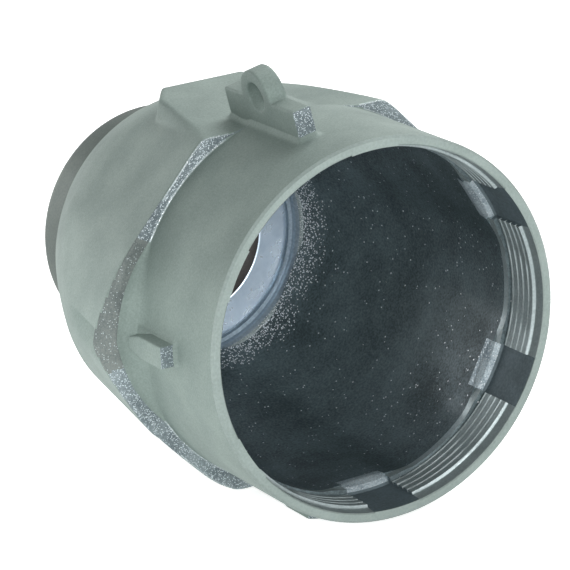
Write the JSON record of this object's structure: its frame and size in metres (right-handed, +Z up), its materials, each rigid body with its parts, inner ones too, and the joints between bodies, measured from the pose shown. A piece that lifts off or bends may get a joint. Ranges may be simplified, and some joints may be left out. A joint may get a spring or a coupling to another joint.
{
  "type": "conduit compression fitting",
  "caption": "Die-cast fitting body with a wide slotted thread mouth, a six-sided shell and a compression gland that grips thin-wall conduit.",
  "frame": {"origin": "centre of the mouth's front face, on the body's axis", "axes": "+Y runs into the body, from the mouth to the gland; +Z is up; +X is to the right seen from in front of the mouth"},
  "size_m": [0.0986, 0.1092, 0.1007],
  "materials": {
    "cast_aluminium": "matte grey-green bead-blasted casting",
    "machined_aluminium": "bright turned face",
    "black_rubber": "matte black rubber",
    "zinc_steel": "zinc-plated steel",
    "nut_aluminium": "darker, smooth turned collar"
  },
  "bodies": {
    "housing": {"body_casting": "cast_aluminium", "throat_ring": "machined_aluminium", "spigot_o_ring": "black_rubber", "sealing_ring": "black_rubber", "gland_washer": "zinc_steel", "compression_ring": "zinc_steel"},
    "thrust": {"thrust_ring": "zinc_steel"},
    "nut": {"gland_nut": "nut_aluminium"}
  },
  "joints": [
    {"name": "gland_travel", "type": "slide", "parent": "housing", "child": "thrust", "axis": [0, 1, 0], "range_m": [0, 0.0045]},
    {"name": "gland_turn", "type": "hinge", "parent": "thrust", "child": "nut", "pos_m": [0, 0.1, 0], "axis": [0, 1, 0], "range_deg": [0, 1080]}
  ],
  "couplings": [
    {"joint": "gland_travel", "follows": "gland_turn", "m_per_rad": 0.00023873}
  ]
}
